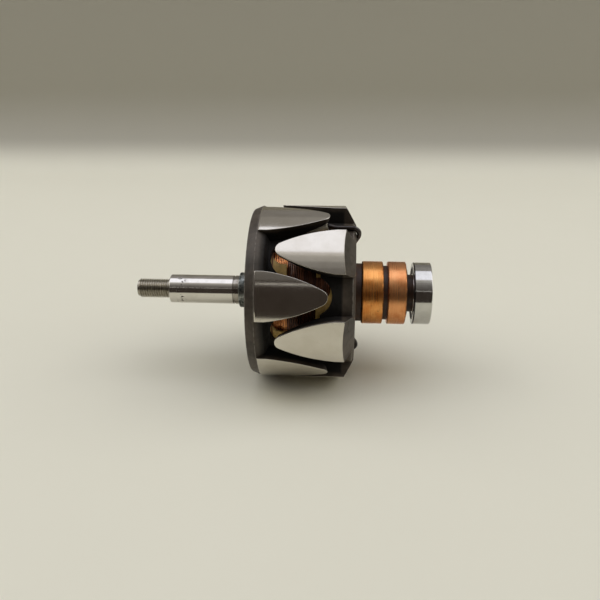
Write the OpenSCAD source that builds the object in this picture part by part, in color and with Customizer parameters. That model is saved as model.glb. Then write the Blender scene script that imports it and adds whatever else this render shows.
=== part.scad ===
// Claw-pole alternator rotor lying on its claws, shaft along X, floor at Z = 0.
// Millimetres. Threaded drive end at -X, slip rings and bearing at +X.

/* [Shaft] */
// Outside diameter of the threaded nose
thread_d = 10; // [8:1:14]
// Length of the threaded nose, tip to shoulder
thread_len = 17.7; // [12:0.1:26]
// Width of the run-out groove behind the thread
runout_w = 0.9; // [0.5:0.1:2]
// Diameter of the journals at both ends
journal_d = 15; // [12:0.5:17]
// Bare journal from the shoulder to the collar
journal_len = 36.7; // [20:0.1:60]
// Diameter of the seat that carries core and poles
seat_d = 17; // [16:0.5:20]
// Chamfer on the shaft's ends and shoulders
shaft_chamfer = 0.8; // [0.3:0.1:1.5]
// Width of the slinger groove beside the collar
slinger_w = 0.8; // [0.5:0.1:2]
// Depth of the slinger groove
slinger_depth = 0.35; // [0.2:0.05:0.8]
// Distance from the slinger groove to the collar
slinger_gap = 2.3; // [1:0.1:5]

/* [Collar] */
// Outside diameter of the drive-end collar
collar_d = 18.4; // [17:0.1:26]
// Width of the collar
collar_w = 8; // [3:0.1:12]
// Chamfer on the collar's edges
collar_chamfer = 0.4; // [0.2:0.1:1]

/* [Pole pieces] */
// Outside diameter over the claws
pole_d = 89; // [80:0.5:110]
// Length over both pole pieces
stack_len = 52; // [46:0.5:64]
// Thickness of each pole disc at the core
disc_t = 10.8; // [8:0.1:14]
// Claws on each pole piece
claw_count = 6; // [6:1:8]
// How far a drive-end claw tip stays short of the far face
drive_tip_short = 12.9; // [11:0.1:16]
// How far a slip-ring-end claw tip stays short of the far face
ring_tip_short = 14; // [11:0.1:16]
// Width of a claw at its root
claw_root_w = 24.8; // [20:0.1:28]
// Width of a claw where its rounded tip starts
claw_end_w = 7.4; // [5:0.1:7.9]
// Diameter of the rounded claw tip
claw_tip_d = 8; // [7.5:0.1:12]
// Bow of a claw's flank over its straight chord
claw_bow = 1.3; // [0.5:0.1:2]
// Lean of a claw's flanks towards its middle, degrees
claw_lean = 15; // [5:1:20]
// Thickness of a claw at its tip
claw_tip_t = 5; // [3:0.1:8]
// Axial length of the turned bevel, drive end
drive_bevel_len = 5.3; // [3:0.1:8]
// Radial drop of the turned bevel, drive end
drive_bevel_drop = 2.2; // [1:0.1:5]
// Axial length of the flat bevels, slip-ring end
ring_bevel_len = 5.8; // [3:0.1:8]
// Radial drop of the flat bevels, slip-ring end
ring_bevel_drop = 10.2; // [8.5:0.1:11]
// Corner radius of a slip-ring-end claw's root, seen from outside
root_round_r = 6.5; // [2:0.1:8]
// Thickness of the drive-end rim between the claws
rim_t = 8.6; // [7:0.1:9.5]
// Radial drop across the top of the drive-end rim
rim_drop = 3; // [1:0.1:5]
// Depth of the valley floors below the claws' outside
valley_depth = 8; // [6:0.1:10]
// Radius of a valley's rounded end, seen from outside
valley_round_r = 10.8; // [9:0.1:11.5]
// Overhang of the valley floors past the discs
valley_lip = 0.3; // [0.1:0.1:0.6]
// Turn of the first claw from straight up, as it lies
lie_turn = 9.6; // [0:0.1:60]

/* [Field coil] */
// Depth of the winding's top layer below the claws' outside
coil_depth = 12.6; // [11:0.1:16]
// Step between the top layer and the layer below
layer_step = 0.7; // [0.3:0.1:1.2]
// Width of the part that lacks the top layer
bare_w = 7.5; // [3:0.1:14]
// Diameter of the steel core
core_d = 34; // [28:0.5:40]
// Wall of the bobbin
bobbin_wall = 1.2; // [0.6:0.1:1.5]
// Length of a bobbin petal along the coil
petal_len = 8; // [4:0.1:12]
// Width of the gap between two petals
petal_gap_w = 11; // [5:0.1:13]
// Turn of the bobbin's petals from the claws that cover them
petal_turn = -6; // [-10:0.5:10]
// Play between the coil, the bobbin and the poles
fit = 0.1; // [0.05:0.05:0.3]
// Diameter of a lead wire
lead_d = 2.4; // [1.6:0.1:2.6]
// Axial length of a lead's climb from the coil to the valley floor
lead_climb = 17.2; // [14:0.1:20]
// Corner of a lead where it turns down over the face
lead_corner = 2; // [1.8:0.1:3]
// Length of a lead straight over the face
lead_over = 2.2; // [1:0.1:4]
// Fall of a lead where it dives into the face's groove
lead_dive = 4.6; // [3:0.1:8]
// Wall of a lead sleeve
sleeve_wall = 0.4; // [0.3:0.1:0.5]
// Length of a lead sleeve
sleeve_len = 10.6; // [6:0.1:14]
// Radius where a lead ends, under the hub's flange
lead_end_r = 13; // [11:0.5:14]

/* [Slip rings] */
// Outside diameter of the slip rings
ring_d = 32.4; // [28:0.1:36]
// Wall of the slip rings
ring_wall = 3.2; // [2:0.1:4]
// Width of the inner slip ring
inner_ring_w = 10.75; // [8:0.05:13]
// Width of the outer slip ring
outer_ring_w = 9.35; // [8:0.05:13]
// Gap between the slip rings
ring_gap = 2.3; // [1.5:0.1:4]
// Chamfer on the slip rings' edges
ring_chamfer = 0.7; // [0.3:0.1:1.2]
// Diameter of the hub's flange
hub_flange_d = 30; // [28:0.1:32]
// Thickness of the hub's flange
hub_flange_t = 3.4; // [2:0.1:5]
// Hub left over past the outer ring
hub_end = 0.6; // [0.2:0.1:2]
// Length of the hub's nose up to the bearing
hub_nose = 3; // [2:0.1:5]

/* [Bearing] */
// Outside diameter of the bearing
bearing_d = 32; // [28:1:40]
// Width of the bearing
bearing_w = 9; // [8:1:12]
// Wall of the inner ring at its shoulders
race_in_wall = 2.5; // [2:0.1:3]
// Wall of the outer ring at its shoulders
race_out_wall = 2.4; // [2:0.1:3]
// How far a ball sinks into each ring
ball_sink = 0.58; // [0.4:0.01:0.8]
// Number of balls
ball_count = 9; // [7:1:9]
// Thickness of the ball cage
cage_t = 1; // [0.6:0.1:1.5]
// Radial running clearance in the bearing
running = 0.05; // [0.02:0.01:0.1]
// Thickness of the seals
seal_t = 0.8; // [0.5:0.1:1.2]
// Recess of the seals below the ring faces
seal_recess = 0.35; // [0.1:0.05:0.8]
// Corner chamfer of the bearing rings
race_chamfer = 0.4; // [0.2:0.1:1]

/* [Hidden] */
$fn = 96;
pole_r = pole_d / 2;
seat_r = seat_d / 2;
journal_r = journal_d / 2;
thread_r = thread_d / 2;
core_r = core_d / 2;
coil_r = pole_r - coil_depth;
ring_r = ring_d / 2;
ring_seat_r = ring_r - ring_wall;
face_x = stack_len / 2;
disc_x = face_x - disc_t;
drive_tip_reach = face_x - drive_tip_short;
ring_tip_reach = face_x - ring_tip_short;
pitch = 360 / claw_count;
spool_r = core_r + bobbin_wall;
petal_r = coil_r + 2 * fit;
flange_r = petal_r + bobbin_wall;
claw_under_r = flange_r + fit;
web_r = pole_r - valley_depth;
claw_base_r = claw_under_r - 5;
coil_end = disc_x - fit - bobbin_wall;
tip_r = claw_tip_d / 2;
tip_back = tip_r - sqrt(pow(tip_r, 2) - pow(claw_end_w / 2, 2));
root_x = disc_x + 1.5;
web_x = disc_x - 6;
past = 1;
drive_bevel_x = face_x - drive_bevel_len;
rim_line = [pole_r + 1.5 * past, -drive_bevel_x - 2.4 * past];
rim_foot_x = disc_x + 0.6;
ring_bevel_x = face_x - ring_bevel_len;
ring_slope = ring_bevel_drop / ring_bevel_len;
flank_facets = 3;
collar_x = -face_x - collar_w;
nose_x = collar_x - journal_len;
end_x = nose_x - thread_len;
ring_1 = face_x + hub_flange_t;
ring_2 = ring_1 + inner_ring_w + ring_gap;
hub_x = ring_2 + outer_ring_w + hub_end;
bearing_x = hub_x + hub_nose;
far_x = bearing_x + bearing_w;
bearing_r = bearing_d / 2;
race_in_r = journal_r + race_in_wall;
race_out_r = bearing_r - race_out_wall;
ball_r = (race_out_r - race_in_r) / 2 + ball_sink;
ball_path = (race_in_r + race_out_r) / 2;
groove_r = ball_r + running;
cage_half = groove_r + 0.5;
mid_x = bearing_x + bearing_w / 2;
lead_r = lead_d / 2;
sleeve_r = lead_r + sleeve_wall;
lead_high = web_r + fit + lead_r;
lead_drop_x = face_x + lead_r + fit;
lead_groove_d = lead_d + 3 * fit;
lead_groove_x = face_x - lead_r - 2 * fit;
lead_level_x = disc_x - 0.5;
lead_face_r = lead_high - lead_corner;
lead_path = [[lead_level_x - lead_climb, coil_r + 2 * fit + lead_r], [lead_level_x, lead_high],
    [lead_drop_x - lead_corner, lead_high], [lead_drop_x, lead_face_r], [lead_drop_x, lead_face_r - lead_over],
    [lead_groove_x, lead_face_r - lead_over - lead_dive], [lead_groove_x, lead_end_r]];
shift_x = -(end_x + far_x) / 2;

steel = [0.72, 0.71, 0.69];
forged = [0.32, 0.29, 0.26];
dark_steel = [0.36, 0.37, 0.38];
copper = [0.72, 0.38, 0.2];
wire = [0.55, 0.24, 0.12];
fibre = [0.66, 0.56, 0.36];
cream = [0.86, 0.82, 0.7];
black = [0.06, 0.06, 0.06];

// Everything is drawn about the X axis, middle plane of the poles at X = 0, then laid on the floor.
module laid() {
    translate([shift_x, 0, pole_r]) children();
}

// Revolve about X of a profile given as [radius, x].
module turned(profile) {
    rotate([0, 90, 0]) rotate_extrude() polygon(profile);
}

// Copies about the shaft, the first one turned from straight up.
module around(first, count) {
    for (k = [0 : count - 1]) rotate([first + 360 * k / count, 0, 0]) children();
}

// A tube with chamfered outer edges.
module sleeve_ring(inner, outer, start, width, edge) {
    turned([[inner, start], [outer - edge, start], [outer, start + edge], [outer, start + width - edge],
        [outer - edge, start + width], [inner, start + width]]);
}

// Point on a claw's bowed edge as [x, half width], from the root at 0 to the tip's rounding at 1.
function edge_point(reach, t) = let (run = reach - tip_back + root_x, fall = (claw_root_w - claw_end_w) / 2)
    [t * run - root_x, claw_root_w / 2 - t * fall] + 4 * claw_bow * t * (1 - t) * [fall, run] / norm([run, fall]);

// One leaning flank of a claw in flat facets. The tip points to +X and the claw stands up along +Z.
module flank(reach) {
    intersection_for (k = [0 : flank_facets - 1]) {
        from = edge_point(reach, k / flank_facets);
        along = edge_point(reach, (k + 1) / flank_facets) - from;
        translate([from[0], from[1], pole_r]) rotate([0, 0, atan2(along[1], along[0])]) rotate([-claw_lean, 0, 0])
            translate([-pole_d, -pole_d, -pole_d]) cube([2 * pole_d, pole_d, 2 * pole_d]);
    }
}

// Envelope that rounds a claw's tip.
module tip_round(reach) {
    tip_x = reach - tip_r;
    cone_h = tip_r / tan(claw_lean) - past;
    translate([-face_x - 2 * past, -claw_root_w, 0])
        cube([face_x + 2 * past + tip_x, 2 * claw_root_w, pole_r + 2 * past]);
    translate([tip_x, 0, pole_r - cone_h])
        cylinder(r1 = tip_r - cone_h * tan(claw_lean), r2 = tip_r + past * tan(claw_lean), h = cone_h + past);
}

// Block that leaves one claw standing.
module claw_block(reach) {
    intersection() {
        translate([-face_x - past / 2, -claw_root_w / 2, claw_base_r])
            cube([face_x + past / 2 + reach, claw_root_w, pole_r + 0.7 * past - claw_base_r]);
        flank(reach);
        mirror([0, 1, 0]) flank(reach);
        tip_round(reach);
    }
}

// Envelope with the flat bevel and the rounded root corners of a slip-ring-end claw.
module flat_root() {
    round_x = root_round_r - face_x - fit;
    half_w = claw_root_w / 2 + past;
    corner_y = claw_root_w / 2 + 0.2 - root_round_r;
    intersection() {
        rotate([90, 0, 0]) linear_extrude(height = 2 * half_w, center = true)
            polygon([[-face_x - past, 0], [-face_x - past, pole_r - ring_bevel_drop - past * ring_slope],
                [-ring_bevel_x, pole_r], [-ring_bevel_x, pole_r + 2 * past], [pole_r, pole_r + 2 * past], [pole_r, 0]]);
        union() {
            translate([round_x, -half_w, 0]) cube([pole_r, 2 * half_w, pole_r + past]);
            translate([-face_x - past, -corner_y, 0]) cube([face_x, 2 * corner_y, pole_r + past]);
            for (side = [-1, 1]) translate([round_x, side * corner_y, 0])
                cylinder(r = root_round_r, h = pole_r + past);
        }
    }
}

// All that a pole may fill: a disc and a cup over the coil, thin at the claw tips. Given the disc's outer edge.
module pole_cup(edge, reach) {
    turned(concat([[seat_r, -face_x]], edge, [[pole_r, reach + past], [pole_r - claw_tip_t, reach + past],
        [claw_under_r, -disc_x], [seat_r, -disc_x]]));
}

// Disc with the valley floors, rounded out between the claws. Given the floors' outer edge.
module valleys(edge, first) {
    difference() {
        turned(concat([[seat_r - past, -face_x - past]], edge, [[web_r, -web_x], [seat_r - past, -web_x]]));
        around(first, claw_count) translate([valley_lip + valley_round_r - disc_x, 0, claw_base_r])
            cylinder(r = valley_round_r, h = pole_r);
    }
}

module shaft() {
    shaft_end = far_x - race_chamfer;
    color(steel) laid() difference() {
        turned([[0, end_x], [thread_r - shaft_chamfer, end_x], [thread_r, end_x + shaft_chamfer],
            [thread_r, nose_x - runout_w], [thread_r - shaft_chamfer, nose_x - runout_w],
            [thread_r - shaft_chamfer, nose_x], [journal_r - shaft_chamfer / 2, nose_x],
            [journal_r, nose_x + shaft_chamfer / 2], [journal_r, -face_x], [seat_r, -face_x], [seat_r, face_x],
            [journal_r, face_x], [journal_r, shaft_end - shaft_chamfer], [journal_r - shaft_chamfer, shaft_end],
            [0, shaft_end]]);
        sleeve_ring(journal_r - slinger_depth, journal_r + past, collar_x - slinger_gap - slinger_w, slinger_w, fit);
    }
}

module drive_end_collar() {
    color(dark_steel) laid() sleeve_ring(journal_r, collar_d / 2, collar_x, collar_w, collar_chamfer);
}

module drive_end_pole() {
    color(forged) laid() intersection() {
        pole_cup([[pole_r - drive_bevel_drop, -face_x], [pole_r, -drive_bevel_x]], drive_tip_reach);
        union() {
            valleys([[rim_line[0], -face_x - past], rim_line, [pole_r - rim_drop, rim_t - face_x],
                [web_r, -rim_foot_x]], lie_turn + pitch / 2);
            around(lie_turn, claw_count) claw_block(drive_tip_reach);
        }
    }
}

module ring_end_pole() {
    color(forged) laid() difference() {
        mirror([1, 0, 0]) intersection() {
            pole_cup([[pole_r, -face_x]], ring_tip_reach);
            union() {
                valleys([[pole_r - ring_bevel_drop - past * ring_slope, -face_x - past],
                    [web_r, (web_r - pole_r) / ring_slope - ring_bevel_x]], lie_turn);
                around(lie_turn + pitch / 2, claw_count) intersection() {
                    claw_block(ring_tip_reach);
                    flat_root();
                }
            }
        }
        around(lie_turn, 2) translate([lead_groove_x - lead_groove_d / 2, -lead_groove_d / 2, lead_end_r - fit])
            cube([face_x, lead_groove_d, lead_face_r - lead_over + lead_r / 2 - lead_end_r]);
    }
}

module field_core() {
    color(forged) laid() turned([[seat_r, -disc_x], [core_r, -disc_x], [core_r, disc_x], [seat_r, disc_x]]);
}

// Rounded gap between two petals of the drive-end flange, seen from outside in a valley.
module petal_gap_cut() {
    gap_r = petal_gap_w / 2;
    translate([gap_r - coil_end - bobbin_wall / 4, 0, petal_r - bobbin_wall]) {
        cylinder(r = gap_r, h = pole_r);
        translate([0, -gap_r, 0]) cube([petal_len, petal_gap_w, pole_r]);
    }
}

module winding_bobbin() {
    out_x = disc_x - fit;
    color(fibre) laid() difference() {
        turned([[core_r, -out_x], [flange_r, -out_x], [flange_r, petal_len - out_x], [petal_r, petal_len - out_x],
            [petal_r, -coil_end], [spool_r, -coil_end], [spool_r, coil_end], [petal_r, coil_end],
            [petal_r, out_x - petal_len], [flange_r, out_x - petal_len], [flange_r, out_x], [core_r, out_x]]);
        around(lie_turn + pitch / 2 + petal_turn, claw_count) petal_gap_cut();
        around(lie_turn + petal_turn, claw_count) mirror([1, 0, 0]) petal_gap_cut();
    }
}

module field_winding() {
    color(wire) laid() turned([[spool_r, -coil_end], [coil_r - layer_step, -coil_end],
        [coil_r - layer_step, bare_w - coil_end], [coil_r, bare_w - coil_end], [coil_r, coil_end],
        [spool_r, coil_end]]);
}

// Straight length of a lead between two points given as [x, radius], with a ball at its start.
module lead_run(from, to) {
    reach = norm(to - from);
    translate([from[0], 0, from[1]]) {
        sphere(r = lead_r + fit / 2);
        rotate([0, 90 - atan2(to[1] - from[1], to[0] - from[0]), 0]) cylinder(r = lead_r, h = reach);
    }
}

// Lead from the coil to the valley floor, over the face's edge and down a groove under the hub.
module lead() {
    for (k = [0 : len(lead_path) - 2]) lead_run(lead_path[k], lead_path[k + 1]);
}

// Tube over the climbing part of a lead.
module lead_sleeve() {
    rise = lead_path[1] - lead_path[0];
    translate([lead_path[1][0], 0, lead_path[1][1]]) rotate([0, 90 - atan2(rise[1], rise[0]), 0])
        translate([0, 0, -sleeve_len - lead_r]) difference() {
            cylinder(r = sleeve_r, h = sleeve_len);
            translate([0, 0, -past]) cylinder(r = lead_r, h = sleeve_len + 2 * past);
        }
}

module inner_ring_lead() {
    color(wire) laid() rotate([lie_turn, 0, 0]) lead();
}

module outer_ring_lead() {
    color(wire) laid() rotate([lie_turn + 180, 0, 0]) lead();
}

module inner_lead_sleeve() {
    color(cream) laid() rotate([lie_turn, 0, 0]) lead_sleeve();
}

module outer_lead_sleeve() {
    color(cream) laid() rotate([lie_turn + 180, 0, 0]) lead_sleeve();
}

module slip_ring_hub() {
    nose_r = race_in_r - 0.4;
    color(black) laid() turned([[journal_r, face_x], [hub_flange_d / 2, face_x], [hub_flange_d / 2, ring_1],
        [ring_seat_r, ring_1], [ring_seat_r, ring_1 + inner_ring_w], [ring_seat_r + 1, ring_1 + inner_ring_w],
        [ring_seat_r + 1, ring_2], [ring_seat_r, ring_2], [ring_seat_r, hub_x], [nose_r, hub_x],
        [nose_r, bearing_x], [journal_r, bearing_x]]);
}

module inner_slip_ring() {
    color(copper) laid() sleeve_ring(ring_seat_r, ring_r, ring_1, inner_ring_w, ring_chamfer);
}

module outer_slip_ring() {
    color(copper) laid() sleeve_ring(ring_seat_r, ring_r, ring_2, outer_ring_w, ring_chamfer);
}

// Raceway shared by both rings of the bearing.
module raceway() {
    translate([mid_x, 0, 0]) rotate([0, 90, 0]) rotate_extrude() translate([ball_path, 0]) circle(r = groove_r);
}

module bearing_inner_ring() {
    color(steel) laid() difference() {
        turned([[journal_r, bearing_x], [race_in_r, bearing_x], [race_in_r, far_x], [journal_r, far_x]]);
        raceway();
    }
}

module bearing_outer_ring() {
    color(steel) laid() difference() {
        sleeve_ring(race_out_r, bearing_r, bearing_x, bearing_w, race_chamfer);
        raceway();
    }
}

module seal(start) {
    turned([[race_in_r + running, start], [race_out_r, start], [race_out_r, start + seal_t],
        [race_in_r + running, start + seal_t]]);
}

module inner_seal() {
    color(black) laid() seal(bearing_x + seal_recess);
}

module outer_seal() {
    color(black) laid() seal(far_x - seal_recess - seal_t);
}

module ball_cage() {
    color(steel) laid() difference() {
        turned([[ball_path - cage_t / 2, mid_x - cage_half], [ball_path + cage_t / 2, mid_x - cage_half],
            [ball_path + cage_t / 2, mid_x + cage_half], [ball_path - cage_t / 2, mid_x + cage_half]]);
        around(0, ball_count) translate([mid_x, 0, ball_path]) sphere(r = ball_r + running);
    }
}

module ball(k) {
    color(steel) laid() rotate([360 * k / ball_count, 0, 0]) translate([mid_x, 0, ball_path]) sphere(r = ball_r);
}

shaft();
drive_end_collar();
drive_end_pole();
ring_end_pole();
field_core();
winding_bobbin();
field_winding();
inner_ring_lead();
outer_ring_lead();
inner_lead_sleeve();
outer_lead_sleeve();
slip_ring_hub();
inner_slip_ring();
outer_slip_ring();
bearing_inner_ring();
bearing_outer_ring();
inner_seal();
outer_seal();
ball_cage();
ball(0);  // ball_1
ball(1);  // ball_2
ball(2);  // ball_3
ball(3);  // ball_4
ball(4);  // ball_5
ball(5);  // ball_6
ball(6);  // ball_7
ball(7);  // ball_8
ball(8);  // ball_9
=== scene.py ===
import math

import bmesh
import bpy
from mathutils import Matrix, Vector


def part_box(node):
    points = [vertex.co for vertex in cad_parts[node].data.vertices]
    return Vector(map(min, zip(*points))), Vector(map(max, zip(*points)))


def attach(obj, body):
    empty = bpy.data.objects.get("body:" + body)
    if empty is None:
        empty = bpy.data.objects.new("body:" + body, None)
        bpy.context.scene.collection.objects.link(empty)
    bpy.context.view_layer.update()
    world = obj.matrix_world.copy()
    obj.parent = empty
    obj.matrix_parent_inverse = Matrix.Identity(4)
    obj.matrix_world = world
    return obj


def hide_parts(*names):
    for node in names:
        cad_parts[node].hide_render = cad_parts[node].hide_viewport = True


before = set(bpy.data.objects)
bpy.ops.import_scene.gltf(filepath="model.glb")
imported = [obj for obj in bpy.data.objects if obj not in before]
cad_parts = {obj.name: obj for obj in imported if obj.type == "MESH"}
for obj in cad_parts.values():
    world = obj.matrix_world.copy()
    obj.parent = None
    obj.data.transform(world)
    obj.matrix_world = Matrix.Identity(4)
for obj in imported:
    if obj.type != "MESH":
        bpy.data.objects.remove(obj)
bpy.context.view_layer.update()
print("frame loaded with", len(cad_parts), "nodes")

mm = 0.001  # everything below is drawn in millimetres about the shaft's axis


def span(node):  # x start, x end and largest radius of a turned node
    low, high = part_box(node)
    return low.x / mm, high.x / mm, (high.z - low.z) / 2 / mm


bearingLow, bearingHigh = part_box("bearing_outer_ring")
axisHeight = (bearingLow.z + bearingHigh.z) / 2 / mm
driveFace = span("drive_end_pole")[0]
ringFace = span("ring_end_pole")[1]
poleRadius = span("drive_end_pole")[2]
middleX = (driveFace + ringFace) / 2
seatRadius = span("field_core")[2] / 2


# mesh helpers

def roundedOutline(corners, steps=4, share=0.45):
    # corners are (radius, x, rounding), and a rounding takes at most a share of each side;
    # each point comes back with 1 for wear where it is on a rounding
    points = []
    for k, (radius, x, rounding) in enumerate(corners):
        corner = Vector((radius, x))
        if rounding == 0:
            points.append((radius, x, 0.0))
            continue
        before = Vector(corners[k - 1][:2]) - corner
        after = Vector(corners[(k + 1) % len(corners)][:2]) - corner
        reach = min(rounding, share * before.length, share * after.length)
        start = corner + before.normalized() * reach
        end = corner + after.normalized() * reach
        for s in range(steps + 1):
            t = s / steps
            bend = start * (1 - t) ** 2 + corner * 2 * t * (1 - t) + end * t * t
            points.append((bend.x, bend.y, 1.0 if 0 < s < steps else 0.0))
    return points


def addFace(faces, *corners):  # a corner that comes twice counts once
    ring = tuple(dict.fromkeys(corners))
    if len(ring) > 2:
        faces.append(ring)


def turnedPart(outline, steps, shape, closed):
    # revolve about the shaft; shape(radius, x, angle) may change a point on the way round
    verts, wear, faces, rings = [], [], [], []
    for radius, x, worn in outline:
        count = steps if radius > 0 else 1  # one point on the axis
        rings.append(range(len(verts), len(verts) + count))
        for k in range(count):
            angle = 2 * math.pi * k / steps
            r, at = shape(radius, x, angle) if shape else (radius, x)
            verts.append((at, -r * math.sin(angle), r * math.cos(angle)))
            wear.append(worn)
    following = rings[1:] + rings[:1] if closed else rings[1:]
    for a, b in zip(rings, following):
        for k in range(steps):
            n = (k + 1) % steps
            addFace(faces, a[k % len(a)], b[k % len(b)], b[n % len(b)], a[n % len(a)])
    return verts, faces, wear


def partMesh(name, verts, faces, wear):
    mesh = bpy.data.meshes.new(name)
    mesh.from_pydata([Vector(v) * mm for v in verts], [], faces)
    layer = mesh.attributes.new("edgeWear", "FLOAT", "POINT")
    for k, value in enumerate(wear):
        layer.data[k].value = value
    return mesh


def turnedMesh(name, corners, steps=160, shape=None, closed=True):
    return partMesh(name, *turnedPart(roundedOutline(corners), steps, shape, closed))


def ringCorners(bore, radius, start, end, edge, boreEdge=0):
    return [(bore, start, boreEdge), (radius, start, edge), (radius, end, edge), (bore, end, boreEdge)]


def addObject(name, data):
    obj = bpy.data.objects.new(name, data)
    bpy.context.scene.collection.objects.link(obj)
    return obj


def evaluatedMesh(obj):
    graph = bpy.context.evaluated_depsgraph_get()
    ready = obj.evaluated_get(graph)
    return bpy.data.meshes.new_from_object(ready, preserve_all_data_layers=True, depsgraph=graph)


def nodeMesh(mesh, tree, values):
    # runs a geometry node tree on a mesh and hands back the plain result
    source = addObject("source", mesh)
    modifier = source.modifiers.new("nodes", "NODES")
    modifier.node_group = tree
    for item in tree.interface.items_tree:
        if item.item_type == "SOCKET" and item.in_out == "INPUT" and item.name in values:
            modifier[item.identifier] = values[item.name]
    made = evaluatedMesh(source)
    bpy.data.objects.remove(source)
    return made


def cutMesh(mesh, cutters):
    # mesh with the cutters' shape taken out of it
    body, tool = addObject("cut", mesh), addObject("cut", cutters)
    change = body.modifiers.new("cut", "BOOLEAN")
    change.operation, change.solver, change.object = "DIFFERENCE", "EXACT", tool
    made = evaluatedMesh(body)
    for obj in (body, tool):
        bpy.data.objects.remove(obj)
    return made


sharpAngle = 38  # degrees; an edge bent more than this keeps its crease


def finishedPiece(name, meshes, body, nodes, material=None):
    # joins the meshes, lifts them to the shaft's height and hands the piece to the frame
    joined = bmesh.new()
    materials = []
    for mesh in meshes:
        first = len(joined.faces)
        joined.from_mesh(mesh)
        joined.faces.ensure_lookup_table()
        for face in joined.faces[first:]:
            own = mesh.materials[face.material_index] if len(mesh.materials) else material
            if own not in materials:
                materials.append(own)
            face.material_index = materials.index(own)
    bmesh.ops.translate(joined, verts=joined.verts, vec=(0, 0, axisHeight * mm))
    bmesh.ops.recalc_face_normals(joined, faces=joined.faces)
    plain = bpy.data.meshes.new(name)
    joined.to_mesh(plain)
    joined.free()
    for own in materials:
        plain.materials.append(own)
    plain.shade_smooth()
    plain.set_sharp_from_angle(angle=math.radians(sharpAngle))
    obj = addObject(name, plain)
    obj.modifiers.new("evenNormals", "WEIGHTED_NORMAL").keep_sharp = True
    obj.data = evaluatedMesh(obj)
    obj.modifiers.clear()
    obj.data.name = name
    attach(obj, body)
    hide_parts(*nodes)
    print("made", name, "with", len(obj.data.polygons), "faces")


def turnedPiece(name, corners, body, node, material):
    finishedPiece(name, [turnedMesh(name, corners)], body, [node], material)


# shader nodes, and the groups that the finishes share

def addNode(tree, kind, **values):
    node = tree.nodes.new(kind)
    for key, value in values.items():
        if key in node.inputs:
            node.inputs[key].default_value = value
        else:
            setattr(node, key, value)
    return node


def feed(tree, socket, given):
    # links another socket, or sets a number or a colour
    if isinstance(given, bpy.types.NodeSocket):
        tree.links.new(given, socket)
    elif isinstance(given, tuple):
        socket.default_value = (*given, 1.0)
    elif given is not None:
        socket.default_value = given


def mathNode(tree, operation, a, b=None):
    node = addNode(tree, "ShaderNodeMath", operation=operation)
    feed(tree, node.inputs[0], a)
    feed(tree, node.inputs[1], b)
    return node.outputs[0]


def plus(tree, a, b):
    return mathNode(tree, "ADD", a, b)


def minus(tree, a, b):
    return mathNode(tree, "SUBTRACT", a, b)


def times(tree, a, b):
    return mathNode(tree, "MULTIPLY", a, b)


def rangeNode(tree, value, low, high, toLow=0.0, toHigh=1.0):
    node = addNode(tree, "ShaderNodeMapRange", interpolation_type="SMOOTHSTEP")
    for socket, given in zip(node.inputs, (value, low, high, toLow, toHigh)):
        feed(tree, socket, given)
    return node.outputs[0]


def mixColour(tree, mask, a, b):
    node = addNode(tree, "ShaderNodeMix", data_type="RGBA")
    for index, given in ((0, mask), (6, a), (7, b)):
        feed(tree, node.inputs[index], given)
    return node.outputs[2]


def mixValue(tree, mask, a, b):
    node = addNode(tree, "ShaderNodeMix", data_type="FLOAT")
    for index, given in ((0, mask), (2, a), (3, b)):
        feed(tree, node.inputs[index], given)
    return node.outputs[0]


def objectPlace(tree):
    return addNode(tree, "ShaderNodeTexCoord").outputs["Object"]


def splitPlace(tree):
    split = addNode(tree, "ShaderNodeSeparateXYZ")
    tree.links.new(objectPlace(tree), split.inputs[0])
    return split.outputs


def noiseNode(tree, scale, **values):
    noise = addNode(tree, "ShaderNodeTexNoise", **values)
    tree.links.new(objectPlace(tree), noise.inputs["Vector"])
    tree.links.new(scale, noise.inputs["Scale"])
    return noise.outputs[0]


def linkAll(tree, *pairs):
    for source, socket in pairs:
        tree.links.new(source, socket)


socketKinds = {float: "NodeSocketFloat", int: "NodeSocketInt", type(None): "NodeSocketMaterial"}


def newTree(kind, name, inputs, outputs=()):
    # a node group whose inputs take their kind from their first values
    tree = bpy.data.node_groups.new(name, kind)
    if kind == "GeometryNodeTree":
        for way in ("INPUT", "OUTPUT"):
            tree.interface.new_socket("Geometry", in_out=way, socket_type="NodeSocketGeometry")
    for label, value in inputs.items():
        socket = tree.interface.new_socket(label, in_out="INPUT", socket_type=socketKinds[type(value)])
        if value is not None:
            socket.default_value = value
    for label in outputs:
        tree.interface.new_socket(label, in_out="OUTPUT", socket_type="NodeSocketFloat")
    return tree, tree.nodes.new("NodeGroupInput"), tree.nodes.new("NodeGroupOutput")


def useGroup(tree, group, **values):
    node = tree.nodes.new("ShaderNodeGroup")
    node.node_tree = group
    for key, value in values.items():
        node.inputs[key].default_value = value
    return node.outputs


def makeShaftPlace():
    # distance along and away from the shaft, in millimetres
    tree, _, out = newTree("ShaderNodeTree", "shaftPlace", {}, ["along", "radius"])
    x, y, z = splitPlace(tree)
    height = minus(tree, z, axisHeight * mm)
    square = plus(tree, mathNode(tree, "POWER", y, 2.0), mathNode(tree, "POWER", height, 2.0))
    tree.links.new(times(tree, x, 1 / mm), out.inputs["along"])
    tree.links.new(times(tree, mathNode(tree, "SQRT", square), 1 / mm), out.inputs["radius"])
    return tree


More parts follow.
